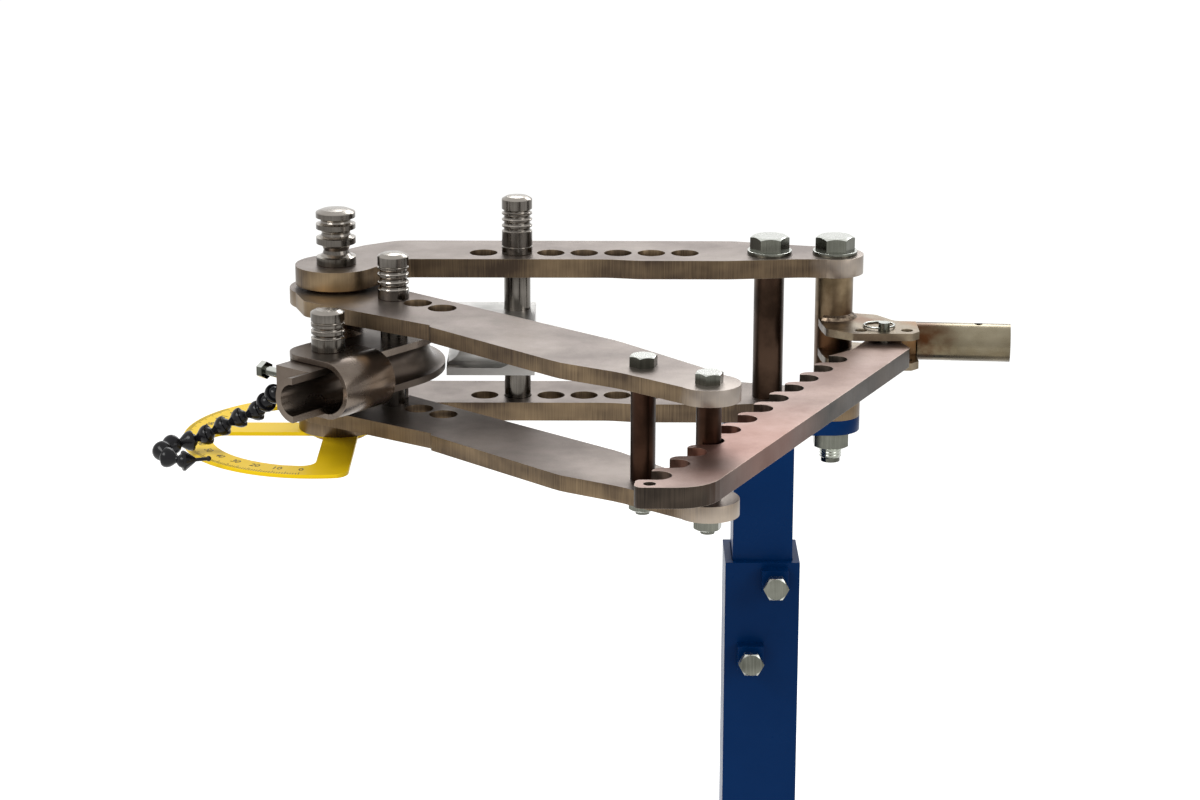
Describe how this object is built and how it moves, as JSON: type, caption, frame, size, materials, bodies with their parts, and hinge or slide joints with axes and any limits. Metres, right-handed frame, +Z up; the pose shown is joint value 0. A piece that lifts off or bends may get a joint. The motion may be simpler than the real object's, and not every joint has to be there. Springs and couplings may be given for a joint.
{
  "type": "tube bender",
  "caption": "Ratcheting tube bender: long frame plates on a pedestal, grooved die on a swing arm, hooked ratchet bar worked by a socketed lever.",
  "frame": {"origin": "on the floor at the axis of the pedestal, the centre of the base plate's anchor holes", "axes": "+Z up, +X to the right along the frame plates towards the lever, +Y to the back"},
  "size_m": [0.7293, 0.6829, 1.0143],
  "materials": {
    "stand_blue": "gloss deep blue paint",
    "zinc": "zinc plated",
    "plate_steel": "brushed, with cut edges",
    "dark_steel": "dark, satin",
    "bronze": "satin bronze",
    "turned_steel": "turned bright",
    "ring_yellow": "satin yellow paint",
    "die_steel": "machined, satin",
    "black_plastic": "black plastic",
    "follow_zinc": "zinc plated, satin",
    "socket_gold": "pale gold plating",
    "bar_steel": "machined with dark cut edges"
  },
  "bodies": {
    "stand": {"base_plate": "stand_blue", "base_gussets": "stand_blue", "outer_sleeve": "stand_blue", "lock_nuts": "stand_blue"},
    "lock_screw_upper": {"lock_bolt_upper": "zinc"},
    "lock_screw_lower": {"lock_bolt_lower": "zinc"},
    "frame": {"inner_post": "stand_blue", "cap_plate": "stand_blue", "upper_frame_plate": "plate_steel", "lower_frame_plate": "plate_steel", "frame_spacer_tube": "dark_steel", "frame_bolts": "zinc", "frame_washers": "zinc", "frame_nuts": "zinc", "king_bushes": "bronze"},
    "king": {"king_pin": "turned_steel"},
    "dial": {"degree_ring": "ring_yellow"},
    "swing_arm": {"upper_swing_plate": "plate_steel", "lower_swing_plate": "plate_steel", "swing_posts": "dark_steel", "swing_bolts": "zinc", "swing_nuts": "zinc", "thrust_washers": "dark_steel", "die_spacers": "dark_steel", "bending_die": "die_steel", "die_clamp_bolt": "zinc", "hose_base": "black_plastic"},
    "pointer": {"hose_segments": "black_plastic", "pointer_tip": "black_plastic"},
    "strap_body": {"strap": "die_steel"},
    "strap_lock": {"strap_pin": "turned_steel"},
    "drive_lock": {"drive_pin": "turned_steel"},
    "follower": {"follow_bar": "follow_zinc", "follow_set_screw": "dark_steel"},
    "follow_lock": {"follow_pin": "turned_steel"},
    "lever": {"pivot_tube": "dark_steel", "upper_lever_plate": "dark_steel", "lower_lever_plate": "dark_steel", "lever_block": "dark_steel", "handle_socket": "socket_gold", "lever_welds": "dark_steel", "clevis_pin": "zinc", "split_ring": "zinc"},
    "ratchet": {"ratchet_bar": "bar_steel"}
  },
  "joints": [
    {"name": "height_slide", "type": "slide", "parent": "stand", "child": "frame", "axis": [0, 0, 1], "range_m": [-0.1, 0.15]},
    {"name": "lock_upper_out", "type": "slide", "parent": "stand", "child": "lock_screw_upper", "axis": [0, -1, 0], "range_m": [0, 0.008]},
    {"name": "lock_lower_out", "type": "slide", "parent": "stand", "child": "lock_screw_lower", "axis": [0, -1, 0], "range_m": [0, 0.008]},
    {"name": "king_pin_lift", "type": "slide", "parent": "frame", "child": "king", "axis": [0, 0, 1], "range_m": [0, 0.152]},
    {"name": "dial_turn", "type": "hinge", "parent": "frame", "child": "dial", "pos_m": [-0.3567, -0.041, 0.8235], "axis": [0, 0, 1], "range_deg": [-20, 20]},
    {"name": "handle_swing", "type": "hinge", "parent": "frame", "child": "lever", "pos_m": [0.0578, 0, 0.8951], "axis": [0, 0, 1], "range_deg": [-16, 16]},
    {"name": "arm_swing", "type": "hinge", "parent": "frame", "child": "swing_arm", "pos_m": [-0.3567, -0.041, 0.8951], "axis": [0, 0, 1], "range_deg": [-2.5, 2.5]},
    {"name": "ratchet_bar_swing", "type": "hinge", "parent": "lever", "child": "ratchet", "pos_m": [0.0962, -0.048, 0.8951], "axis": [0, 0, 1], "range_deg": [-17, 17]},
    {"name": "drive_pin_lift", "type": "slide", "parent": "swing_arm", "child": "drive_lock", "axis": [0, 0, 1], "range_m": [0, 0.105]},
    {"name": "strap_pin_lift", "type": "slide", "parent": "swing_arm", "child": "strap_lock", "axis": [0, 0, 1], "range_m": [0, 0.048]},
    {"name": "strap_swing", "type": "hinge", "parent": "swing_arm", "child": "strap_body", "pos_m": [-0.35605, -0.14189, 0.8951], "axis": [0, 0, 1], "range_deg": [-3, 3]},
    {"name": "pointer_swing", "type": "hinge", "parent": "swing_arm", "child": "pointer", "pos_m": [-0.39903, -0.14954, 0.884], "axis": [0, 0, 1], "range_deg": [-6, 6]},
    {"name": "follow_bar_swing", "type": "hinge", "parent": "frame", "child": "follower", "pos_m": [-0.2086, 0, 0.8951], "axis": [0, 0, 1], "range_deg": [-1.2, 10]},
    {"name": "follow_pin_lift", "type": "slide", "parent": "frame", "child": "follow_lock", "axis": [0, 0, 1], "range_m": [0, 0.14]}
  ],
  "couplings": [
    {"joint": "arm_swing", "follows": "handle_swing", "ratio": 0.13896},
    {"joint": "ratchet_bar_swing", "follows": "handle_swing", "ratio": -1.0224}
  ]
}
